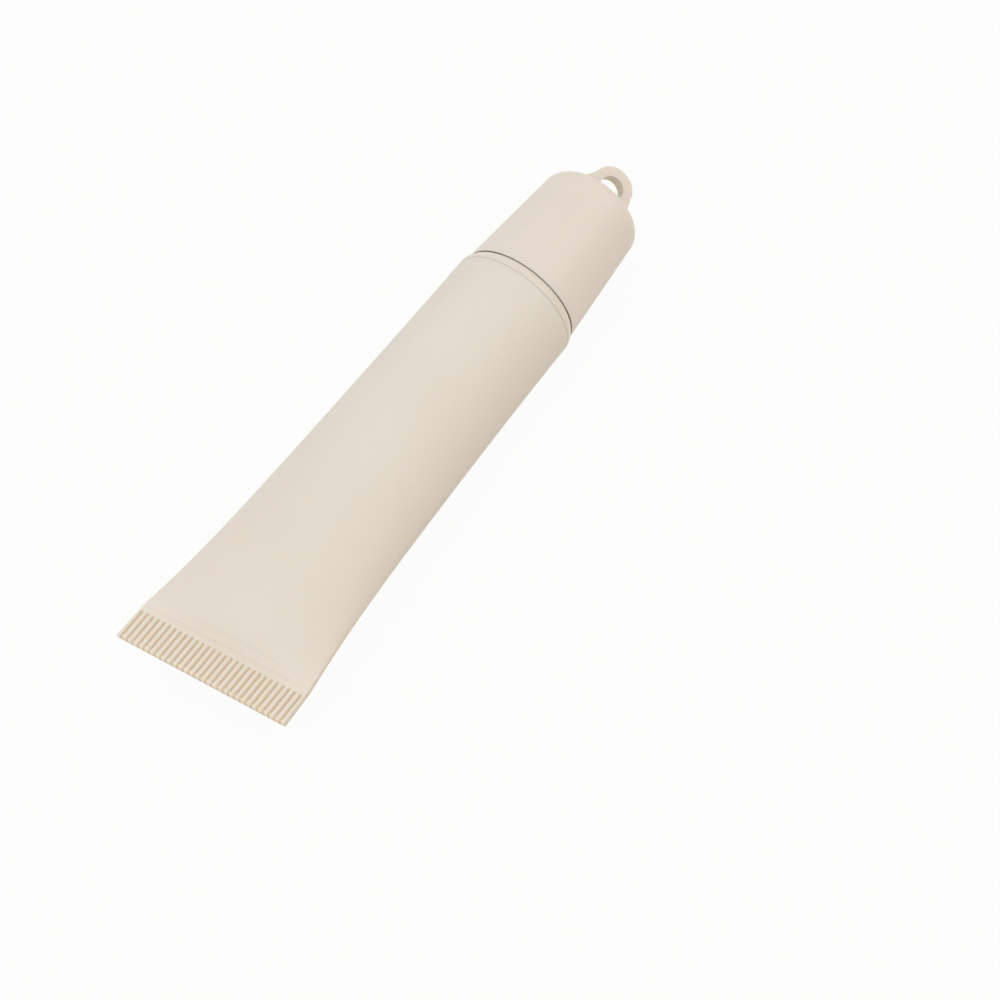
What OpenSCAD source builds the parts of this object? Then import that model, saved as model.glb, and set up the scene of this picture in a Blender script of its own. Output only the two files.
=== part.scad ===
// Lip gloss squeeze tube with a screw cap that carries a hanging loop, lying on its belly.
// Each piece is drawn along X in the tube's own frame: X = 0 at the free end of the crimp,
// Y across the crimp and Z square to it. Then lying() sets it down as it comes to rest.

/* [Sleeve] */
// Outer radius of the sleeve where it meets the shoulder
tube_r = 9.5; // [8.7:0.1:11]
// Wall of the sleeve
sleeve_wall = 0.5; // [0.35:0.05:0.8]
// Length of the sleeve from the crimp's inner edge to the start of the shoulder's round
body_len = 66.4; // [50:0.2:90]
// How long the sleeve keeps its width as it widens towards the crimp
widen_ease = 1.66; // [1.3:0.02:2.2]
// How early the belly reaches its full height
swell_ease = 2.98; // [2:0.02:3.6]
// How blunt the belly rises out of the crimp
swell_rise = 0.62; // [0.5:0.01:0.9]
// How sharp the folded side edges are beside the crimp
fold_sharpness = 0.58; // [0:0.02:0.8]

/* [Crimp] */
// Width of the crimp at its free end
crimp_w = 28.5; // [26:0.1:31]
// How far each side of the crimp draws in at its inner edge
crimp_draw = 0.25; // [0.05:0.05:0.8]
// Length of the crimp along the tube
crimp_len = 5.9; // [4:0.1:9]
// Thickness of the sealed crimp over its ridges
crimp_t = 1.0; // [0.8:0.05:1.4]
// Number of grooves pressed into each face of the crimp
groove_count = 29; // [15:1:33]
// Width of one groove at the face
groove_w = 0.5; // [0.3:0.05:0.7]
// Depth of one groove
groove_depth = 0.18; // [0.08:0.01:0.25]
// Plain band between the grooves and the sleeve
crimp_border = 0.9; // [0.5:0.1:1.5]
// Plain strip between the outer grooves and the crimp's sides
crimp_strip = 0.2; // [0.1:0.05:1]

/* [Head] */
// Radius of the round between the head's side and its face
shoulder_round = 2.5; // [1.5:0.1:3]
// Width of the step from the sleeve's side in to the neck
neck_step = 3.6; // [3.5:0.05:3.9]
// Wall of the neck
neck_wall = 1.0; // [0.8:0.05:1.4]
// Length of the neck beyond the head's face
neck_len = 8.5; // [8:0.1:12]
// Thickness of the head behind its face
head_t = 1.6; // [1:0.1:2.4]
// Length of the skirt that is welded inside the sleeve
skirt_len = 3.0; // [2:0.1:6]
// Wall of that skirt
skirt_wall = 0.9; // [0.6:0.1:1.4]
// Gap left for the weld between skirt and sleeve
weld_gap = 0.05; // [0.02:0.01:0.1]
// Height of the collar bead over the neck
collar_height = 1.37; // [0.7:0.01:1.4]
// Distance from the head's face to the middle of the collar bead
collar_rise = 1.95; // [1.2:0.05:2.2]
// Width of the collar bead at its foot
collar_w = 1.5; // [1:0.1:1.8]
// Height over the neck of the bead round its mouth
mouth_height = 0.3; // [0.15:0.01:0.4]
// Width of the bead round the neck's mouth
mouth_w = 1.1; // [0.8:0.05:1.4]

/* [Thread] */
// Lift of the cap in one turn
pitch = 1.3; // [1.2:0.05:1.6]
// Depth of the neck's thread
thread_depth = 1.2; // [1:0.01:1.3]
// Turns of thread on the neck
neck_turns = 2.6; // [1.5:0.1:2.8]
// Turns of thread in the cap
cap_turns = 2.2; // [1:0.1:2.4]
// Distance from the head's face to the start of the neck's thread
thread_rise = 3.45; // [3.2:0.05:4]
// Axial width of the neck's thread at its crest
crest_w = 0.3; // [0.15:0.05:0.4]
// Slope of each flank, as axial width gained for each unit of depth
flank_slope = 0.3; // [0.2:0.01:0.34]
// Axial clearance on each flank of the thread
flank_gap = 0.08; // [0.05:0.01:0.12]
// Radial clearance at the crests of the thread
crest_gap = 0.25; // [0.2:0.01:0.3]

/* [Applicator tip] */
// How far the slanted tip stands inside the neck's radius
tip_inset = 0.7; // [0.6:0.05:1.3]
// Distance from the neck's mouth to the middle of the slanted face
tip_len = 6.1; // [5:0.1:8]
// Slant of the face, from square to the tube
tip_slant = 32.6; // [15:0.2:40]
// Direction of the longest side of the tip, turned about the tube's axis
tip_turn = -49; // [-180:1:180]
// Radius of the soft edge round the slanted face
tip_edge = 0.6; // [0.3:0.05:0.9]
// Diameter of the orifice
orifice_d = 2.0; // [1:0.1:3]
// Radial softening of the orifice's mouth
orifice_flare = 0.35; // [0.1:0.05:0.6]
// How far the flange that stops the tip stands inside the neck's radius
flange_inset = 0.15; // [0.05:0.05:0.4]
// Thickness of that flange
flange_t = 0.45; // [0.3:0.05:0.8]
// Length of the plug inside the neck
plug_len = 6.0; // [4:0.2:8]
// Wall of the plug
plug_wall = 1.0; // [0.7:0.05:1.4]
// Radial clearance between plug and neck
plug_gap = 0.03; // [0.01:0.01:0.08]

/* [Cap] */
// How far the cap's rim stands inside the sleeve's outer radius
rim_inset = 0.46; // [0.1:0.02:0.8]
// Taper of the cap's side, from the tube's axis
cap_taper = 4.5; // [2:0.1:5]
// Radius of the round between the cap's side and its top
cap_round = 2.8; // [1.5:0.1:3.5]
// Thickness of the cap's top
cap_top_t = 0.95; // [0.9:0.05:2]
// Gap between the cap's rim and the shoulder
seam_gap = 0.15; // [0.1:0.01:0.4]
// Gap between the longest side of the tip and the inside of the cap's top
tip_gap = 0.25; // [0.2:0.05:1]
// Room round the tip inside the cap
crown_gap = 1.1; // [0.7:0.05:1.3]
// Thickness of the seal ring
seal_t = 0.9; // [0.6:0.05:1.4]
// Clearance round the seal ring
seal_gap = 0.08; // [0.05:0.01:0.12]

/* [Hanging loop] */
// Diameter of the eye
eye_d = 3.8; // [2.5:0.1:4.5]
// Width of the band round the eye
loop_band = 1.4; // [1:0.05:2]
// Thickness of the loop
loop_t = 2.0; // [1.4:0.1:2.8]
// Height of the eye's middle above the cap's top
eye_rise = 2.75; // [2.6:0.05:4]
// Radius of the fillets that spread the loop's foot
foot_fillet = 6.5; // [4:0.1:8]
// Turn of the loop from the crimp's plane, with the cap screwed home
loop_turn = 40; // [-90:1:90]

/* [Resting] */
// Rise of the cap's end as the tube lies on its soft belly
rest_tilt = 2.0; // [0:0.05:5]

/* [Hidden] */

// Colours of the mouldings
body_colour = "#E3DBCB";
moulding_colour = "#DCCDB5";
seal_colour = "#F2EFE8";

// Sleeve and thread meshes
ring_sides = 50;
ring_count = 18;
ring_crowding = 1.6;
first_hollow = 0.006;
thread_sides = 24;
fade_angle = 60;
round_fn = 96;
sink = 0.3;
fillet_bite = 0.06;

// Places along the tube
crimp_inner_w = crimp_w - 2 * crimp_draw;
shoulder_x = crimp_len + body_len;
face_x = shoulder_x + shoulder_round;
mouth_x = face_x + neck_len;
skirt_r = tube_r - sleeve_wall - weld_gap;
neck_r = tube_r - neck_step;
bore_r = neck_r - neck_wall;
collar_r = neck_r + collar_height;
mouth_r = neck_r + mouth_height;
thread_r = neck_r + thread_depth;
tip_r = neck_r - tip_inset;
flange_r = neck_r - flange_inset;
crown_r = tip_r + crown_gap;
flange_x = mouth_x + flange_t;
tip_mid_x = mouth_x + tip_len;
tip_end_x = tip_mid_x + tan(tip_slant) * (tip_r - tip_edge) + tip_edge * (1 / cos(tip_slant) - 1);
seal_x = flange_x + seal_gap;
step_x = seal_x + seal_t + seal_gap;
cap_inner_x = tip_end_x + tip_gap;
cap_top_x = cap_inner_x + cap_top_t;
eye_x = cap_top_x + eye_rise;
loop_r = eye_d / 2 + loop_band;

// The rim follows the shoulder's round at the seam gap
round_mid_r = tube_r - shoulder_round;
rim_r = tube_r - rim_inset;
rim_x = shoulder_x + sqrt(pow(shoulder_round + seam_gap, 2) - pow(rim_r - round_mid_r, 2));
cap_bore_r = thread_r + crest_gap;
corner_x = cap_top_x - cap_round;
corner_r = rim_r - tan(cap_taper) * (corner_x - rim_x) - cap_round / cos(cap_taper);

// Thread sections: half widths at the crest and at a given radius
function neck_half(r) = crest_w / 2 + flank_slope * (thread_r - r);
function cap_half(r) = pitch / 2 - neck_half(r) - flank_gap;
cap_crest_r = neck_r + 2 * crest_gap;
thread_x = face_x + thread_rise;

// Sleeve form: half width, half height and fold of the section at u, from 0 at the crimp to 1
function station_x(u) = crimp_len + body_len * u;
function half_width(u) = tube_r + (crimp_inner_w / 2 - tube_r) * pow(1 - u, widen_ease);
function half_height(u) =
    crimp_t / 2 + (tube_r - crimp_t / 2) * pow(1 - pow(1 - u, swell_ease), swell_rise);
function fold(u) = 1 + fold_sharpness * pow(1 - u, 2);
function edge_wall(u) = sleeve_wall * (1 + 2 * pow(1 - u, 2));
function section(u, side_wall, face_wall) = [
    for (i = [0 : ring_sides - 1])
        let (a = 360 * i / ring_sides, s = sin(a))
        [
            station_x(u),
            (half_width(u) - side_wall) * cos(a),
            max((half_height(u) - face_wall) * sign(s) * pow(abs(s), fold(u)),
                table_z(station_x(u)) + face_wall * flat_wall / sleeve_wall)
        ]
];
function crowded(i, from) = from + (1 - from) * pow(i / ring_count, ring_crowding);
function outer_ring(i) = section(crowded(i, 0), 0, 0);
function inner_ring(i) =
    let (u = crowded(i, first_hollow))
    section(u, edge_wall(u), sleeve_wall);

// Triangles of the band between ring i and ring i + 1, for rings of n points
function band(i, n, flip) = [
    for (j = [0 : n - 1])
        let (k = (j + 1) % n, a = i * n + j, b = i * n + k, c = a + n, d = b + n)
        each flip ? [[a, d, c], [a, b, d]] : [[a, c, d], [a, d, b]]
];
function shifted(faces, by) = [for (f = faces) [for (i = f) i + by]];

// Joins two rings of n points that start at a and b in the same plane
function annulus(a, b, n) = [
    for (j = [0 : n - 1])
        let (k = (j + 1) % n)
        each [[a + j, b + j, b + k], [a + j, b + k, a + k]]
];

// The tube lies on its rigid shoulder and its soft belly, which is pressed flat as far as the
// shoulder. Over the skirt only the wall gives, and the same wall is left under the whole flat.
lift = tube_r * cos(rest_tilt) - shoulder_x * sin(rest_tilt);
flat_wall = sleeve_wall - skirt_len * tan(rest_tilt);
function table_z(x) = -(lift + x * sin(rest_tilt)) / cos(rest_tilt);
far_x = (eye_x + loop_r) * cos(rest_tilt) + loop_t / 2 * cos(loop_turn) * sin(rest_tilt);
near_x = -crimp_t / 2 * sin(rest_tilt);
mid_x = (far_x + near_x) / 2;

// Sets a piece down from the tube's own frame to the way it lies
module lying() {
    translate([-mid_x, 0, lift])
        rotate([0, -rest_tilt, 0])
            children();
}

// Turns a half profile, with radius along X and the tube's axis along Y, about the tube's axis
module turned() {
    rotate([0, 90, 0])
        rotate_extrude($fn = round_fn)
            children();
}

// Right-hand thread of helical flanks about X: r_in and r_out bound the section, whose half
// width is w_in at r_in and w_out at r_out. It fades towards the radius faded at both ends.
module helix(start_x, turns, phase, r_in, r_out, w_in, w_out, inward) {
    steps = ceil(turns * thread_sides);
    points = [
        for (i = [0 : steps])
            let (
                angle = 360 * turns * i / steps,
                grown = min(1, angle / fade_angle, (360 * turns - angle) / fade_angle),
                x = start_x + pitch * angle / 360,
                depth = (r_out - r_in) * grown,
                crest = inward ? r_out - depth : r_in + depth,
                root = inward ? r_out : r_in,
                crest_half = inward ? w_in : w_out,
                root_half = inward ? w_out : w_in,
                half_now = root_half + (crest_half - root_half) * grown,
                base = inward ? root + sink : root - sink,
                buried = sink / 2 * (1 - grown),
                tip = inward ? crest + buried : crest - buried,
                c = cos(angle + phase),
                s = sin(angle + phase)
            )
            each [
                [x - root_half, base * c, base * s],
                [x - half_now, tip * c, tip * s],
                [x + half_now, tip * c, tip * s],
                [x + root_half, base * c, base * s]
            ]
    ];
    last = steps * 4;
    polyhedron(
        points = points,
        faces = concat(
            [for (i = [0 : steps - 1]) each band(i, 4, inward)],
            inward ? [[0, 1, 2], [0, 2, 3]] : [[2, 1, 0], [3, 2, 0]],
            inward ? [[last + 2, last + 1, last], [last + 3, last + 2, last]]
                   : [[last, last + 1, last + 2], [last, last + 2, last + 3]]
        ),
        convexity = 8
    );
}

// Section of the crimp: a plate with grooves in both faces
module crimp_section() {
    groove_pitch = (crimp_inner_w - 2 * crimp_strip - groove_w) / (groove_count - 1);
    face = crimp_t / 2;
    bed = face - groove_depth;
    upper = [
        for (i = [0 : groove_count - 1])
            let (y = (i - (groove_count - 1) / 2) * groove_pitch)
            each [
                [y - groove_w / 2, face],
                [y - groove_w / 4, bed],
                [y + groove_w / 4, bed],
                [y + groove_w / 2, face]
            ]
    ];
    lower = [for (i = [len(upper) - 1 : -1 : 0]) [upper[i][0], -upper[i][1]]];
    polygon(concat([[-crimp_w / 2, face]], upper,
        [[crimp_w / 2, face], [crimp_w / 2, -face]], lower, [[-crimp_w / 2, -face]]));
}

// Heat-sealed end: ridges open to the free end, a plain band, and sides that draw in a little
module crimp() {
    intersection() {
        union() {
            rotate([90, 0, 90])
                linear_extrude(crimp_len - crimp_border)
                    crimp_section();
            translate([crimp_len - crimp_border, -crimp_w / 2, -crimp_t / 2])
                cube([crimp_border + sink, crimp_w, crimp_t]);
        }
        translate([0, 0, -crimp_t])
            linear_extrude(2 * crimp_t)
                polygon([
                    [0, -crimp_w / 2],
                    [0, crimp_w / 2],
                    [crimp_len + sink, crimp_inner_w / 2],
                    [crimp_len + sink, -crimp_inner_w / 2]
                ]);
    }
}

// Thin-walled sleeve: round at the shoulder and drawn out flat towards the crimp
module sleeve_shell() {
    outer = [for (i = [0 : ring_count]) each outer_ring(i)];
    inner = [for (i = [0 : ring_count]) each inner_ring(i)];
    skin = [for (i = [0 : ring_count - 1]) each band(i, ring_sides, false)];
    lining = [for (i = [0 : ring_count - 1]) each band(i, ring_sides, true)];
    outer_end = ring_count * ring_sides;
    inner_end = outer_end + len(outer);
    polyhedron(
        points = concat(outer, inner),
        faces = concat(
            skin,
            shifted(lining, len(outer)),
            annulus(outer_end, inner_end, ring_sides),
            [[for (j = [0 : ring_sides - 1]) j]],
            [[for (j = [ring_sides - 1 : -1 : 0]) len(outer) + j]]
        ),
        convexity = 6
    );
}

module tube_sleeve() {
    color(body_colour)
        lying() {
            sleeve_shell();
            crimp();
        }
}

// Rounded bead in a half profile: radius r, width w at its foot on the radius foot_r
module bead(x, r, w, foot_r) {
    crest = w / 4;
    translate([r - crest, x])
        circle(r = crest, $fn = round_fn);
    polygon([
        [foot_r - sink, x - w / 2],
        [foot_r, x - w / 2],
        [r - crest, x - crest],
        [r - crest, x + crest],
        [foot_r, x + w / 2],
        [foot_r - sink, x + w / 2]
    ]);
}

// Moulded head: skirt, rounded shoulder, and the neck with its beads and bore
module head_profile() {
    funnel_x = face_x - head_t;
    difference() {
        union() {
            translate([0, shoulder_x - skirt_len])
                square([skirt_r, skirt_len]);
            translate([0, shoulder_x])
                square([round_mid_r, shoulder_round]);
            intersection() {
                translate([round_mid_r, shoulder_x])
                    circle(r = shoulder_round, $fn = round_fn);
                translate([0, shoulder_x])
                    square([tube_r, shoulder_round]);
            }
            translate([0, face_x - sink])
                square([neck_r, neck_len + sink]);
            bead(face_x + collar_rise, collar_r, collar_w, neck_r);
            bead(mouth_x - mouth_w / 2, mouth_r, mouth_w, neck_r - sink / 2);
        }
        translate([-sink, 0])
            square([bore_r + sink, mouth_x + sink]);
        polygon([
            [0, shoulder_x - skirt_len - sink],
            [skirt_r - skirt_wall, shoulder_x - skirt_len - sink],
            [skirt_r - skirt_wall, funnel_x - (skirt_r - skirt_wall - round_mid_r)],
            [round_mid_r, funnel_x],
            [0, funnel_x]
        ]);
    }
}

module tube_head() {
    color(moulding_colour)
        lying() {
            turned() head_profile();
            helix(thread_x, neck_turns, 0, neck_r, thread_r,
                neck_half(neck_r), neck_half(thread_r), false);
        }
}

// Slanted tip: rings that climb the side, roll over the soft edge and close on the face
module slanted_body() {
    edge_steps = 5;
    slope = tan(tip_slant);
    rim = [
        for (i = [0 : edge_steps])
            let (a = 90 * i / edge_steps)
            [tip_r - tip_edge * (1 - cos(a)), tip_edge * (sin(a) - 1)]
    ];
    rings = concat(
        [[for (j = [0 : ring_sides - 1])
            let (t = 360 * j / ring_sides)
            [mouth_x + flange_t / 2, tip_r * cos(t), tip_r * sin(t)]]],
        [for (p = rim) [for (j = [0 : ring_sides - 1])
            let (t = 360 * j / ring_sides)
            [tip_mid_x + slope * p[0] * cos(t - tip_turn) + p[1], p[0] * cos(t), p[0] * sin(t)]]]
    );
    count = len(rings);
    top = (count - 1) * ring_sides;
    polyhedron(
        points = [for (ring = rings) each ring],
        faces = concat(
            [for (i = [0 : count - 2]) each band(i, ring_sides, false)],
            [[for (j = [0 : ring_sides - 1]) j]],
            [[for (j = [ring_sides - 1 : -1 : 0]) top + j]]
        ),
        convexity = 4
    );
}

module applicator_tip() {
    plug_r = bore_r - plug_gap;
    hollow_r = plug_r - plug_wall;
    hollow_x = tip_mid_x - tan(tip_slant) * tip_r - plug_wall;
    color(moulding_colour)
        lying()
            difference() {
                union() {
                    slanted_body();
                    turned() {
                        translate([0, mouth_x])
                            square([flange_r, flange_t]);
                        translate([0, mouth_x - plug_len])
                            square([plug_r, plug_len + flange_t / 2]);
                    }
                }
                turned() {
                    square([orifice_d / 2, cap_top_x]);
                    translate([0, mouth_x - plug_len - sink])
                        square([hollow_r, hollow_x - mouth_x + plug_len + sink]);
                }
                translate([tip_mid_x, 0, 0])
                    rotate([tip_turn, 0, 0])
                        rotate([0, 0, -tip_slant])
                            turned()
                                polygon([
                                    [0, -3 * orifice_flare],
                                    [orifice_d / 2, -3 * orifice_flare],
                                    [orifice_d / 2 + orifice_flare, 0],
                                    [orifice_d / 2 + 2 * orifice_flare, sink],
                                    [0, sink]
                                ]);
            }
}

// Soft ring that seals on the tip's flange when the cap is home
module cap_seal() {
    color(seal_colour)
        lying()
            turned()
                translate([tip_r + crest_gap, seal_x])
                    square([cap_bore_r - seal_gap - tip_r - crest_gap, seal_t]);
}

// Half profile of the cap's shell, with its rim cut to follow the shoulder
module cap_profile() {
    side_r = corner_r + cap_round * cos(cap_taper);
    side_x = corner_x + cap_round * sin(cap_taper);
    foot_r = rim_r + tan(cap_taper) * (rim_x - shoulder_x);
    difference() {
        union() {
            polygon([
                [0, shoulder_x],
                [foot_r, shoulder_x],
                [side_r, side_x],
                [corner_r, corner_x],
                [corner_r, cap_top_x],
                [0, cap_top_x]
            ]);
            translate([corner_r, corner_x])
                circle(r = cap_round, $fn = round_fn);
        }
        translate([round_mid_r, shoulder_x])
            circle(r = shoulder_round + seam_gap, $fn = round_fn);
        translate([-sink, shoulder_x - sink])
            square([cap_bore_r + sink, step_x - shoulder_x + sink]);
        crown_profile();
    }
}

// Inside of the cap above the seal, with a rounded corner under the top
module crown_profile() {
    inner_round = cap_round - cap_top_t;
    translate([-sink, step_x - sink])
        square([crown_r + sink, cap_inner_x - inner_round - step_x + sink]);
    translate([-sink, cap_inner_x - inner_round - sink])
        square([crown_r - inner_round + sink, inner_round + sink]);
    intersection() {
        translate([crown_r - inner_round, cap_inner_x - inner_round])
            circle(r = inner_round, $fn = round_fn);
        translate([0, cap_inner_x - inner_round - sink])
            square([crown_r, inner_round + sink]);
    }
}

// Outline of the loop: a round eye whose foot spreads to meet the cap's rounded top.
// The fillet's middle lies where it touches both the loop's ring and the top's round.
module loop_outline() {
    ring_reach = loop_r + foot_fillet - fillet_bite;
    top_reach = cap_round + foot_fillet - fillet_bite;
    span = [corner_r, -cap_round - eye_rise];
    apart = norm(span);
    along = (pow(ring_reach, 2) - pow(top_reach, 2) + pow(apart, 2)) / (2 * apart);
    aside = sqrt(pow(ring_reach, 2) - pow(along, 2));
    unit = span / apart;
    middle = [0, eye_rise] + along * unit + aside * [-unit[1], unit[0]];
    top_mid = [corner_r, -cap_round];
    foot = top_mid + (cap_round - fillet_bite) * (middle - top_mid) / top_reach;
    depth = foot[1] - cap_top_t / 2;
    difference() {
        union() {
            translate([0, eye_rise])
                circle(r = loop_r, $fn = round_fn);
            polygon([
                [0, eye_rise],
                middle,
                foot,
                [foot[0], depth],
                [-foot[0], depth],
                [-foot[0], foot[1]],
                [-middle[0], middle[1]]
            ]);
        }
        for (side = [-1, 1])
            translate([side * middle[0], middle[1]])
                circle(r = foot_fillet, $fn = round_fn);
        translate([0, eye_rise])
            circle(d = eye_d, $fn = round_fn);
    }
}

module hanging_loop() {
    translate([cap_top_x, 0, 0])
        rotate([loop_turn, 0, 0])
            rotate([0, 0, -90])
                linear_extrude(loop_t, center = true)
                    loop_outline();
}

module screw_cap() {
    color(body_colour)
        lying() {
            turned() cap_profile();
            helix(thread_x + pitch / 2, cap_turns, 0, cap_crest_r, cap_bore_r,
                cap_half(cap_crest_r), cap_half(cap_bore_r), true);
            hanging_loop();
        }
}

tube_sleeve();
tube_head();
applicator_tip();
cap_seal();
screw_cap();
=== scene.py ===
"""Finish and studio for a lip gloss squeeze tube that lies on its belly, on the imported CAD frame.

Each piece is worked out along the tube's own axis, in millimetres: X = 0 at the free end of the
crimp, Y across the crimp and Z square to it. laid() then sets it down the way the CAD lies.
"""

import bpy
import numpy as np
from bpy.props import FloatProperty, FloatVectorProperty, IntProperty, PointerProperty
from mathutils import Matrix, Vector


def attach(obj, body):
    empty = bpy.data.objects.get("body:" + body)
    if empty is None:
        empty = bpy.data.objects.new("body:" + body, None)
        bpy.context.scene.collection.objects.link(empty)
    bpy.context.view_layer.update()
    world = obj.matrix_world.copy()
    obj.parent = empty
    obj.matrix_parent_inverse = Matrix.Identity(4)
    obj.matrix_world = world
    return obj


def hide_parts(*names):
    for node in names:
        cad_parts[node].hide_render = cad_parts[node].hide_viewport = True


bl_info = {
    "name": "Lip gloss squeeze tube",
    "version": (1, 0, 0),
    "blender": (4, 5, 0),
    "location": "3D View > Sidebar > Tube",
    "description": "Skin, mouldings and studio for a squeeze tube with a looped screw cap",
    "category": "Object",
}

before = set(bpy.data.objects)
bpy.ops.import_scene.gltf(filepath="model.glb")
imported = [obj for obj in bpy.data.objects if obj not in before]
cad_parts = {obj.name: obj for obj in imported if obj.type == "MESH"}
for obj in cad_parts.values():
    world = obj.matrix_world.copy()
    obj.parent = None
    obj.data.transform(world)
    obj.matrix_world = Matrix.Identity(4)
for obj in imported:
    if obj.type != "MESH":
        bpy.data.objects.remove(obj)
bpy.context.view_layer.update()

MM = 0.001

# Where the tube's parts lie along its axis, and how it rests, in millimetres and radians
SLEEVE_START, SLEEVE_END = 5.9, 72.3
SHOULDER_RADIUS = 9.5
CRIMP_HALF = 0.5
LOOP_END, LOOP_HALF, LOOP_TURN = 96.404 + 3.3, 1.0, np.radians(40)
REST_TILT = np.radians(2.0)

# What the sealing jaws leave on the crimp, in millimetres
END_ROUND = 0.3
GROOVE_RUN_OUT = 0.35
SEAL_LINE_DEPTH, SEAL_LINE_WIDTH = 0.05, 0.12
JAW_LINE_DEPTH, JAW_LINE_WIDTH = 0.045, 0.16
JAW_LINE_OFFSET, JAW_LINE_REACH, JAW_LINE_FADE = 0.95, 12.6, 1.5

# How the flat crimp passes into the round sleeve: soft corners, the plate that thins out, and
# the stretch over which even steps across the crimp turn to even angles round the sleeve
CORNER_POWER, PLATE_FADE = 50, 8
TURN_START, TURN_RUN = 0.5, 9
TABLE_SOFT = 0.014


def laid(points):
    """Points of the tube's own frame in the row's frame, in metres: tilted by the resting angle
    about Y, lifted so that the shoulder touches Z = 0, and centred along X on the CAD box."""
    c, s = np.cos(REST_TILT), np.sin(REST_TILT)
    lift = SHOULDER_RADIUS * c - SLEEVE_END * s
    far = LOOP_END * c + LOOP_HALF * np.cos(LOOP_TURN) * s
    middle = (far - CRIMP_HALF * s) / 2
    x, y, z = np.moveaxis(np.asarray(points, float), -1, 0)
    return np.stack([x * c - z * s - middle, y, x * s + z * c + lift], -1) * MM


def smooth(t):
    """Smooth step: 3 t^2 - 2 t^3 with t held between 0 and 1."""
    t = np.clip(t, 0, 1)
    return t * t * (3 - 2 * t)


def mesh_piece(name, points, faces, material):
    """A smooth-shaded mesh object from a point array and a list of faces."""
    mesh = bpy.data.meshes.new(name)
    mesh.from_pydata(points, [], faces)
    mesh.validate()
    mesh.shade_smooth()
    mesh.materials.append(material)
    piece = bpy.data.objects.new(name, mesh)
    bpy.context.scene.collection.objects.link(piece)
    return piece


def loft(rows, columns):
    """Quads between closed rings: point (i, j) joins to (i + 1, j) and (i, j + 1), with the last
    column joined to the first."""
    index = np.arange(rows * columns).reshape(rows, columns)
    right = np.roll(index, -1, axis=1)
    return np.stack([index[:-1], right[:-1], right[1:], index[1:]], -1).reshape(-1, 4)


def end_faces(first, columns, half, turned):
    """Faces that close a ring of points, numbered from first on. half of them are on its upper
    side, and point j there lies over point columns - j. turned gives the other winding."""
    across = np.arange(1, half - 1)
    top, low = first + across, first + columns - across
    strip = np.stack([top[:-1], top[1:], low[1:], low[:-1]], -1).tolist()
    corners = [[first, first + 1, first + columns - 1],
               [first + half - 1, first + half, first + half - 2]]
    return [face[::-1] if turned else face for face in strip + corners]


def linear(hex_colour):
    """sRGB hex to linear RGBA."""
    value = np.array([int(hex_colour[i:i + 2], 16) for i in (1, 3, 5)]) / 255
    value = np.where(value <= 0.04045, value / 12.92, ((value + 0.055) / 1.055) ** 2.4)
    return (*value.tolist(), 1.0)


def colour_property(name, description, hex_colour):
    """A colour that a user can change, kept linear, with its default given as sRGB hex."""
    return FloatVectorProperty(name=name, description=description, subtype="COLOR", size=4,
                               min=0, max=1, default=linear(hex_colour))


def node(tree, kind, inputs=(), links=(), **settings):
    """Adds a node with its settings, sets its sockets and links other nodes' outputs into it."""
    made = tree.nodes.new(kind)
    for name, value in settings.items():
        setattr(made, name, value)
    for socket, value in dict(inputs).items():
        made.inputs[socket].default_value = value
    for socket, (source, output) in dict(links).items():
        tree.links.new(source.outputs[output], made.inputs[socket])
    return made


def new_material(name):
    """An empty node material and its tree."""
    material = bpy.data.materials.new(name)
    material.use_nodes = True
    material.node_tree.nodes.clear()
    return material, material.node_tree


def two_tone(tree, factor, low, high, start=0.0, end=1.0):
    """A colour that passes from low to high as the factor's Fac goes from start to end."""
    ramp = node(tree, "ShaderNodeValToRGB", links={"Fac": (factor, "Fac")})
    for stop, position, colour in zip(ramp.color_ramp.elements, (start, end), (low, high)):
        stop.position, stop.color = position, colour
    return ramp


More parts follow.
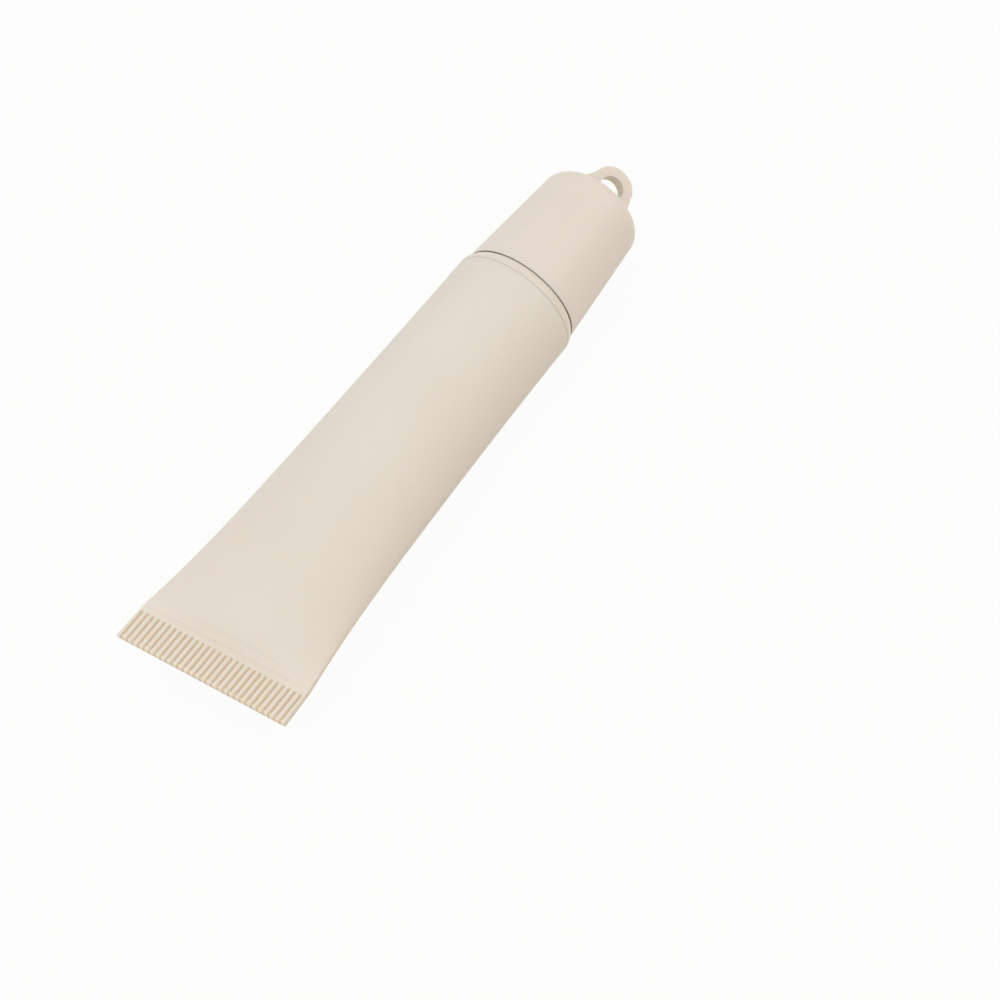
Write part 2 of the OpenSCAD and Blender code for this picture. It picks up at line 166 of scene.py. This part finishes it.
def polymer(name, light, deep, roughness, cloud_mm, grain_mm, grain_depth_mm, glow=0.3,
            coat=0.0, pressed=None):
    """A moulded or extruded polyolefin: a solid pigment colour with a slow drift between two close
    tones, roughness that drifts the same way, and the fine grain of the tool's surface. Light
    scatters a little way into it, which keeps shadows and small gaps soft and warm.
    cloud_mm is the width of the drift, grain_mm that of the grain and glow the share of the
    scattered light. The last argument is painted shade for the bottoms of the grooves: the darker,
    warmer tone that shade and the light scattered in the plastic give them, not a tone of the
    pigment. It is mixed in by the point attribute of the same name, which holds how deep each point
    lies in a groove."""
    material, tree = new_material(name)
    place = node(tree, "ShaderNodeTexCoord")
    cloud = node(tree, "ShaderNodeTexNoise", {"Scale": 1 / (cloud_mm * MM), "Detail": 3.0,
                                              "Roughness": 0.5}, {"Vector": (place, "Object")})
    grain = node(tree, "ShaderNodeTexNoise", {"Scale": 1 / (grain_mm * MM), "Detail": 2.0,
                                              "Roughness": 0.6}, {"Vector": (place, "Object")})
    tone = two_tone(tree, cloud, deep, light, 0.3, 0.7)
    colour = (tone, "Color")
    # Painted shade: a darker, warmer tone mixed in where a point lies deep in a groove
    if pressed is not None:
        depth = node(tree, "ShaderNodeAttribute", attribute_name="pressed")
        mix = node(tree, "ShaderNodeMix", {"B": pressed}, data_type="RGBA")
        tree.links.new(depth.outputs["Fac"], mix.inputs["Factor"])
        tree.links.new(tone.outputs["Color"], mix.inputs["A"])
        colour = (mix, "Result")
    rough = node(tree, "ShaderNodeMapRange",
                 {"From Min": 0.3, "From Max": 0.7, "To Min": roughness - 0.04,
                  "To Max": roughness + 0.04}, {"Value": (cloud, "Fac")})
    bump = node(tree, "ShaderNodeBump", {"Strength": 1.0, "Distance": grain_depth_mm * MM},
                {"Height": (grain, "Fac")})
    shader = node(tree, "ShaderNodeBsdfPrincipled",
                  {"IOR": 1.5, "Subsurface Weight": glow, "Subsurface Radius": (1.0, 0.75, 0.5),
                   "Subsurface Scale": 1.2 * MM, "Coat Weight": coat, "Coat Roughness": 0.12},
                  {"Base Color": colour, "Roughness": (rough, "Result"),
                   "Normal": (bump, "Normal")})
    node(tree, "ShaderNodeOutputMaterial", links={"Surface": (shader, "BSDF")})
    return material


class TubeSleeveSettings(bpy.types.PropertyGroup):
    """Form and colours of the extruded sleeve and its crimp."""

    radius: FloatProperty(name="Radius", description="Outer radius at the shoulder",
                          default=0.0095, unit="LENGTH")
    wall: FloatProperty(name="Wall", description="Wall of the sleeve", default=0.0005,
                        unit="LENGTH")
    crimp_width: FloatProperty(name="Crimp width", description="Width of the crimp's free end",
                               default=0.0285, unit="LENGTH")
    crimp_draw: FloatProperty(name="Crimp draw", description="How far each side draws in",
                              default=0.00025, unit="LENGTH")
    crimp_thickness: FloatProperty(name="Crimp thickness", description="Thickness over the ridges",
                                   default=0.001, unit="LENGTH")
    border: FloatProperty(name="Border", description="Plain band between grooves and sleeve",
                          default=0.0009, unit="LENGTH")
    strip: FloatProperty(name="Side strip", description="Plain strip outside the outer grooves",
                         default=0.0002, unit="LENGTH")
    groove_count: IntProperty(name="Grooves", description="Grooves on each face", default=29)
    groove_width: FloatProperty(name="Groove width", description="Width of a groove at the face",
                                default=0.0005, unit="LENGTH")
    groove_depth: FloatProperty(name="Groove depth", description="Depth of a groove",
                                default=0.00018, unit="LENGTH")
    widen_ease: FloatProperty(name="Widening", description="How late the sleeve widens",
                              default=1.66)
    swell_ease: FloatProperty(name="Swell", description="How early the belly is full", default=2.98)
    swell_rise: FloatProperty(name="Rise", description="How blunt the belly rises", default=0.62)
    start: FloatProperty(name="Start", description="How gently the belly leaves the crimp",
                         default=0.0009, unit="LENGTH")
    fold: FloatProperty(name="Fold", description="How sharp the sides fold at the crimp",
                        default=0.58)
    light: colour_property("Light tone", "Lighter tone of the pigment", "#E2DACB")
    deep: colour_property("Deep tone", "Deeper tone of the pigment", "#DFD5C5")
    # Painted shade: the darker tone at the bottoms of the grooves stands in for the shade that
    # falls in them
    pressed: colour_property("Pressed tone", "Tone at the bottom of the grooves", "#CFB993")


class TubeMouldingSettings(bpy.types.PropertyGroup):
    """Colours of the moulded pieces."""

    head_light: colour_property("Head, light", "Lighter tone of shoulder and neck", "#E2D9C9")
    head_deep: colour_property("Head, deep", "Deeper tone of shoulder and neck", "#DFD5C4")
    tip_light: colour_property("Tip, light", "Lighter tone of the applicator", "#E2D7C6")
    tip_deep: colour_property("Tip, deep", "Deeper tone of the applicator", "#DED2C0")
    seal_light: colour_property("Seal, light", "Lighter tone of the seal ring", "#F2EFE8")
    seal_deep: colour_property("Seal, deep", "Deeper tone of the seal ring", "#E9E4DA")
    cap_light: colour_property("Cap, light", "Lighter tone of the cap", "#E2DACC")
    cap_deep: colour_property("Cap, deep", "Deeper tone of the cap", "#DFD5C6")


class TubeStageSettings(bpy.types.PropertyGroup):
    """Camera, lamps, sky and floor of the studio."""

    azimuth: FloatProperty(name="Camera azimuth", description="Direction of the camera from +X",
                           default=np.radians(-135.5), subtype="ANGLE")
    elevation: FloatProperty(name="Camera elevation", description="Height of the camera",
                             default=np.radians(51.322), subtype="ANGLE")
    roll: FloatProperty(name="Camera roll", description="Turn about its own line of sight",
                        default=np.radians(-11.374), subtype="ANGLE")
    distance: FloatProperty(name="Camera distance", description="From the point it looks at",
                            default=0.53836, unit="LENGTH")
    aim: FloatVectorProperty(name="Aim", description="Point that the camera looks at",
                             default=(-0.005923, -0.018078, 0.008582), subtype="XYZ", unit="LENGTH")
    lens: FloatProperty(name="Lens", description="Focal length in mm", default=143.573)
    key: FloatProperty(name="Key lamp", description="Power of the key lamp in watts", default=1.2)
    key_place: FloatVectorProperty(name="Key lamp's place", description="From the aim",
                                   default=(-0.5, 0.12, 0.5), subtype="XYZ", unit="LENGTH")
    key_colour: colour_property("Key lamp's colour", "Slightly cool", "#FBFCFF")
    side: FloatProperty(name="Side lamp", description="Power of the side lamp in watts",
                        default=0.75)
    side_place: FloatVectorProperty(name="Side lamp's place", description="From the aim",
                                    default=(0.5, -0.3, 0.4), subtype="XYZ", unit="LENGTH")
    side_colour: colour_property("Side lamp's colour", "Slightly warm", "#FFFAF4")
    sky: FloatProperty(name="Sky", description="Level of the even light all round", default=0.86)
    sky_colour: colour_property("Sky's colour", "Colour of the even light", "#FDFDFF")
    white: FloatProperty(name="Floor's white", description="Share of pure white that is seen",
                         default=0.95, subtype="FACTOR")
    paper_deep: colour_property("Paper, deep", "Deeper tone of the floor's paper", "#D2C7B9")
    paper_light: colour_property("Paper, light", "Lighter tone of the floor's paper", "#D6CBBD")


class TUBE_OT_sleeve(bpy.types.Operator):
    """Make the sleeve with its grooved crimp"""

    bl_idname = "tube.sleeve"
    bl_label = "Sleeve"

    def half_sizes(self, settings, u):
        """Half width and half height of the section at u, 0 at the crimp and 1 at the shoulder.
        The width falls from the crimp's to the radius as (1 - u)^widening; the height grows from
        half the crimp's thickness to the radius as (1 - (1 - u)^swell)^rise, times
        1 - e^(-distance from the crimp / start), which lets it leave the crimp flat."""
        radius = settings.radius / MM
        inner = (settings.crimp_width / 2 - settings.crimp_draw) / MM
        half = settings.crimp_thickness / 2 / MM
        away = 1 - np.clip(u, 0, 1)
        width = radius + (inner - radius) * away ** settings.widen_ease
        height = (1 - away ** settings.swell_ease) ** settings.swell_rise
        from_crimp = (1 - away) * (SLEEVE_END - SLEEVE_START) * MM
        height = height * (1 - np.exp(-from_crimp / settings.start))
        return width, half + (radius - half) * height

    def outer(self, settings, x, side):
        """Outer skin at the stations x, and how far each point is pressed, from 0 to 1. side
        holds, for each column, its place on the flat crimp (-1 to 1 in even steps), its place on
        the round sleeve and the sign of its face. The section is a plate with soft sides, of the
        crimp's thickness, which thins out along the sleeve, and on it a lens
        z = height (1 - q^2)^e, whose e goes from a sharp fold at the crimp to the half power of
        an ellipse at the shoulder. The free end is rounded over. Below the table a point is
        brought up to it: gap becomes (gap + (gap^2 + soft^2)^0.5) / 2."""
        flat_q, round_q, face = side
        u = (x - SLEEVE_START) / (SLEEVE_END - SLEEVE_START)
        width, height = self.half_sizes(settings, u)
        half = settings.crimp_thickness / 2 / MM
        width = width + settings.crimp_draw / MM * np.clip(1 - x / SLEEVE_START, 0, 1)
        to_shoulder = 1 - np.clip(u, 0, 1)
        plate = half * to_shoulder ** PLATE_FADE
        morph = smooth((x - SLEEVE_START - TURN_START) / TURN_RUN)
        q = flat_q + (round_q - flat_q) * morph[:, None]
        edge = (1 - np.abs(q) ** CORNER_POWER) ** (1 / CORNER_POWER)
        power = (1 + settings.fold * to_shoulder[:, None] ** 2) / 2
        lens = np.maximum(1 - q * q, 0) ** power
        x = x[:, None]
        y = width[:, None] * q
        z = plate[:, None] * edge + (height - plate)[:, None] * lens
        groove, line = self.pressed(settings, x, y)
        to_end = np.clip(1 - x / END_ROUND, 0, 1)
        z = z - (groove * smooth((x - END_ROUND) / GROOVE_RUN_OUT) + line) * edge
        z = z - END_ROUND * (1 - np.sqrt(1 - to_end * to_end)) * edge
        z = face * z
        table = (SLEEVE_END - x) * np.tan(REST_TILT) - SHOULDER_RADIUS
        gap = z - table
        z = table + (gap + np.sqrt(gap * gap + TABLE_SOFT * TABLE_SOFT)) / 2
        # How deep each point lies in a groove, from 0 to 1: the mask that mixes in the painted
        # groove shade
        depth = groove / (settings.groove_depth / MM)
        return np.stack([np.broadcast_to(x, y.shape), y, z], -1), depth

    def pressed(self, settings, x, y):
        """Depths pressed into each face by the sealing jaws: of the grooves, whose section is a
        smooth step down and up, and of two lines with the section of a bell, a hair line at the
        seal's inner edge and a fainter one where the jaws' edge stops."""
        width = settings.groove_width / MM
        inner = (settings.crimp_width - 2 * settings.crimp_draw - 2 * settings.strip) / MM
        pitch = (inner - width) / (settings.groove_count - 1)
        stop = SLEEVE_START - settings.border / MM
        last = settings.groove_count // 2
        nearest = np.clip(np.round(y / pitch), -last, last)
        aside = np.abs(y - nearest * pitch) / (width * 0.62)
        groove = settings.groove_depth / MM * smooth(1.25 * (1 - aside))
        groove = groove * smooth((stop - x) / GROOVE_RUN_OUT)
        line = SEAL_LINE_DEPTH * np.exp(-((x - SLEEVE_START) / SEAL_LINE_WIDTH) ** 2)
        span = smooth((JAW_LINE_REACH - np.abs(y)) / JAW_LINE_FADE)
        aside = (x - SLEEVE_START - JAW_LINE_OFFSET) / JAW_LINE_WIDTH
        return groove, line + JAW_LINE_DEPTH * np.exp(-aside ** 2) * span

    def execute(self, context):
        settings = context.scene.tube_sleeve
        # Extruded sleeve, satin from its chill ring: a wide, soft highlight and an even tone,
        # with painted shade mixed in at the bottoms of the grooves
        finish = polymer("PE_satin_extruded", settings.light, settings.deep, 0.46, 26, 0.5, 0.004,
                         pressed=settings.pressed)

        # Columns: even steps across the crimp, closer at its sides, and even angles when round
        sides = np.array([0, 0.0004, 0.0016, 0.0036, 0.0068, 0.0115])
        span = np.concatenate([1 - sides, np.linspace(0.983, -0.983, 270), -1 + sides[::-1]])
        half = len(span)
        turned = np.sin(np.linspace(np.pi / 2, -np.pi / 2, half))
        turned[[0, -1]] = 1, -1
        flat_q = np.concatenate([span, span[-2:0:-1]])
        round_q = np.concatenate([turned, turned[-2:0:-1]])
        face = np.concatenate([np.ones(half), -np.ones(half - 2)])
        side = (flat_q[None, :], round_q[None, :], face[None, :])

        # Rows: close at the rounded end, at the grooves' ends and at the two lines
        x = np.concatenate([
            [0, 0.015, 0.05, 0.1, 0.16, 0.23, 0.31, 0.42], np.linspace(0.8, 4.4, 8),
            np.linspace(4.6, 5.1, 8), np.linspace(5.3, 7.4, 24),
            7.4 + (SLEEVE_END - 0.12 - 7.4) * np.linspace(0, 1, 74)[1:] ** 1.25,
            [SLEEVE_END - 0.05, SLEEVE_END - 0.01]])
        skin, depth = self.outer(settings, x, side)
        # The cut end at the shoulder is eased by a few hundredths of a millimetre
        skin[-2, :, 1:] *= 1 - 0.02 / SHOULDER_RADIUS
        skin[-1, :, 1:] *= 1 - 0.06 / SHOULDER_RADIUS

        # Inner face: the outer one drawn in by the wall, which thickens towards the seal
        wall = settings.wall / MM
        back = np.concatenate([[SLEEVE_END],
                               np.linspace(SLEEVE_END - 0.2, SLEEVE_START + 1.5, 30)])
        lining, plain = self.outer(settings, back, side)
        u = np.clip((back - SLEEVE_START) / (SLEEVE_END - SLEEVE_START), 0, 1)
        width, height = self.half_sizes(settings, u)
        lining[..., 1] *= ((width - wall * (1 + 2 * (1 - u) ** 2)) / width)[:, None]
        lining[..., 2] *= ((height - wall) / height)[:, None]

        points = np.concatenate([skin, lining])
        rows, columns = points.shape[:2]
        faces = loft(rows, columns).tolist()
        faces += end_faces(0, columns, half, turned=True)
        faces += end_faces((rows - 1) * columns, columns, half, turned=False)
        piece = mesh_piece("sleeve_skin", laid(points).reshape(-1, 3), faces, finish)
        # Depth in the grooves, kept on each point, mixes in the painted groove shade
        pressed = piece.data.attributes.new("pressed", "FLOAT", "POINT")
        pressed.data.foreach_set("value", np.concatenate([depth, plain]).ravel())
        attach(piece, "tube")
        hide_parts("tube_sleeve")
        return {"FINISHED"}


class TUBE_OT_mouldings(bpy.types.Operator):
    """Give the moulded pieces of the CAD their finishes"""

    bl_idname = "tube.mouldings"
    bl_label = "Mouldings"

    def execute(self, context):
        tones = context.scene.tube_mouldings
        finishes = {
            # Polished mould: shoulder and neck shine more than the sleeve
            "tube_head": polymer("PE_gloss_moulded_head", tones.head_light, tones.head_deep, 0.36,
                                 9, 0.3, 0.002),
            # Mirror-polished mould: a crisp highlight on the slanted face
            "applicator_tip": polymer("PE_gloss_moulded_tip", tones.tip_light, tones.tip_deep, 0.24,
                                      7, 0.3, 0.001, coat=0.2),
            # Closed-cell foam: dull and nearly white
            "cap_seal": polymer("PE_foam_seal", tones.seal_light, tones.seal_deep, 0.7, 2, 0.25,
                                0.01, glow=0.2),
            # Fine spark-eroded mould: a satin cap with a soft highlight
            "screw_cap": polymer("PP_satin_moulded", tones.cap_light, tones.cap_deep, 0.4, 14, 0.45,
                                 0.003),
        }
        for name, finish in finishes.items():
            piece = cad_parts[name]
            piece.data.materials.clear()
            piece.data.materials.append(finish)
            for slot in piece.material_slots:
                slot.material = finish
        return {"FINISHED"}


class TUBE_OT_stage(bpy.types.Operator):
    """Set up the floor, the lamps, the sky and the camera"""

    bl_idname = "tube.stage"
    bl_label = "Studio"

    def execute(self, context):
        settings = context.scene.tube_stage
        scene = context.scene
        scene.view_settings.view_transform = "Standard"
        aim = Vector(settings.aim)
        self.camera(scene, settings, aim)
        self.lamp(scene, "key_lamp", aim + Vector(settings.key_place), aim, 0.6, settings.key,
                  settings.key_colour)
        self.lamp(scene, "side_lamp", aim + Vector(settings.side_place), aim, 0.5, settings.side,
                  settings.side_colour)
        self.floor(settings)
        self.sky(scene, settings)
        return {"FINISHED"}

    def camera(self, scene, settings, aim):
        """The camera at its azimuth, elevation and distance from aim, turned by its roll."""
        ce, se = np.cos(settings.elevation), np.sin(settings.elevation)
        back = Vector((ce * np.cos(settings.azimuth), ce * np.sin(settings.azimuth), se))
        level = Vector((0, 0, 1)).cross(back).normalized()
        upright = back.cross(level)
        right = level * np.cos(settings.roll) + upright * np.sin(settings.roll)
        up = back.cross(right)
        camera = bpy.data.objects.new("camera", bpy.data.cameras.new("camera"))
        camera.data.lens = settings.lens
        camera.data.sensor_width = 36
        camera.data.clip_start, camera.data.clip_end = 0.01, 10
        camera.matrix_world = Matrix.Translation(aim + back * settings.distance) @ Matrix(
            (right, up, back)).transposed().to_4x4()
        scene.collection.objects.link(camera)
        scene.camera = camera

    def lamp(self, scene, name, place, aim, size, power, colour):
        """A square soft box at place, turned to aim."""
        data = bpy.data.lights.new(name, "AREA")
        data.shape, data.size, data.energy = "SQUARE", size, power
        data.color = colour[:3]
        lamp = bpy.data.objects.new(name, data)
        lamp.location = place
        lamp.rotation_euler = (aim - place).to_track_quat("-Z", "Y").to_euler()
        scene.collection.objects.link(lamp)

    def sky(self, scene, settings):
        """Even light all round, which the camera sees as pure white."""
        world = bpy.data.worlds.new("sky")
        scene.world = world
        world.use_nodes = True
        tree = world.node_tree
        tree.nodes.clear()
        path = node(tree, "ShaderNodeLightPath")
        seen = node(tree, "ShaderNodeMath", operation="MAXIMUM",
                    links={0: (path, "Is Camera Ray"), 1: (path, "Is Transmission Ray")})
        soft = node(tree, "ShaderNodeBackground", {"Color": settings.sky_colour,
                                                   "Strength": settings.sky})
        white = node(tree, "ShaderNodeBackground", {"Color": (1, 1, 1, 1), "Strength": 1.0})
        mix = node(tree, "ShaderNodeMixShader", links={0: (seen, "Value"), 1: (soft, "Background"),
                                                       2: (white, "Background")})
        node(tree, "ShaderNodeOutputWorld", links={"Surface": (mix, "Shader")})

    def floor(self, settings):
        """A wide paper floor. The camera sees most of it as pure white; the rest is matte paper,
        so the shadow under the tube stays."""
        reach = 3.0
        points = np.array([(-reach, -reach, 0), (reach, -reach, 0), (reach, reach, 0),
                           (-reach, reach, 0)])
        # Matte paper: throws a soft, slightly warm light up to the sides of the tube
        material, tree = new_material("white_paper")
        place = node(tree, "ShaderNodeTexCoord")
        fibre = node(tree, "ShaderNodeTexNoise", {"Scale": 1 / (3 * MM), "Detail": 4.0},
                     {"Vector": (place, "Object")})
        tone = two_tone(tree, fibre, settings.paper_deep, settings.paper_light)
        matte = node(tree, "ShaderNodeBsdfDiffuse", links={"Color": (tone, "Color")})
        path = node(tree, "ShaderNodeLightPath")
        seen = node(tree, "ShaderNodeMath", operation="MAXIMUM",
                    links={0: (path, "Is Camera Ray"), 1: (path, "Is Glossy Ray")})
        seen = node(tree, "ShaderNodeMath", operation="MAXIMUM",
                    links={0: (seen, "Value"), 1: (path, "Is Transmission Ray")})
        share = node(tree, "ShaderNodeMath", {1: settings.white}, {0: (seen, "Value")},
                     operation="MULTIPLY")
        white = node(tree, "ShaderNodeEmission", {"Color": (1, 1, 1, 1), "Strength": 1.0})
        mix = node(tree, "ShaderNodeMixShader", links={0: (share, "Value"), 1: (matte, "BSDF"),
                                                       2: (white, "Emission")})
        node(tree, "ShaderNodeOutputMaterial", links={"Surface": (mix, "Shader")})
        floor = mesh_piece("floor", points, [[0, 1, 2, 3]], material)


class TUBE_PT_panel(bpy.types.Panel):
    """Sizes, colours and studio of the tube"""

    bl_label = "Squeeze tube"
    bl_idname = "TUBE_PT_panel"
    bl_space_type = "VIEW_3D"
    bl_region_type = "UI"
    bl_category = "Tube"

    def draw(self, context):
        for operator in OPERATORS:
            self.layout.operator(operator.bl_idname)
        for name in GROUPS:
            group = getattr(context.scene, name)
            box = self.layout.box()
            for setting in group.bl_rna.properties.keys():
                if setting not in ("rna_type", "name"):
                    box.prop(group, setting)


GROUPS = {"tube_sleeve": TubeSleeveSettings, "tube_mouldings": TubeMouldingSettings,
          "tube_stage": TubeStageSettings}
OPERATORS = (TUBE_OT_sleeve, TUBE_OT_mouldings, TUBE_OT_stage)


def register():
    for name, group in GROUPS.items():
        bpy.utils.register_class(group)
        setattr(bpy.types.Scene, name, PointerProperty(type=group))
    for kind in (*OPERATORS, TUBE_PT_panel):
        bpy.utils.register_class(kind)


def unregister():
    for kind in (TUBE_PT_panel, *reversed(OPERATORS)):
        bpy.utils.unregister_class(kind)
    for name, group in reversed(GROUPS.items()):
        delattr(bpy.types.Scene, name)
        bpy.utils.unregister_class(group)


def main():
    register()
    for name in ("sleeve", "mouldings", "stage"):
        getattr(bpy.ops.tube, name)()


if __name__ == "__main__":
    main()
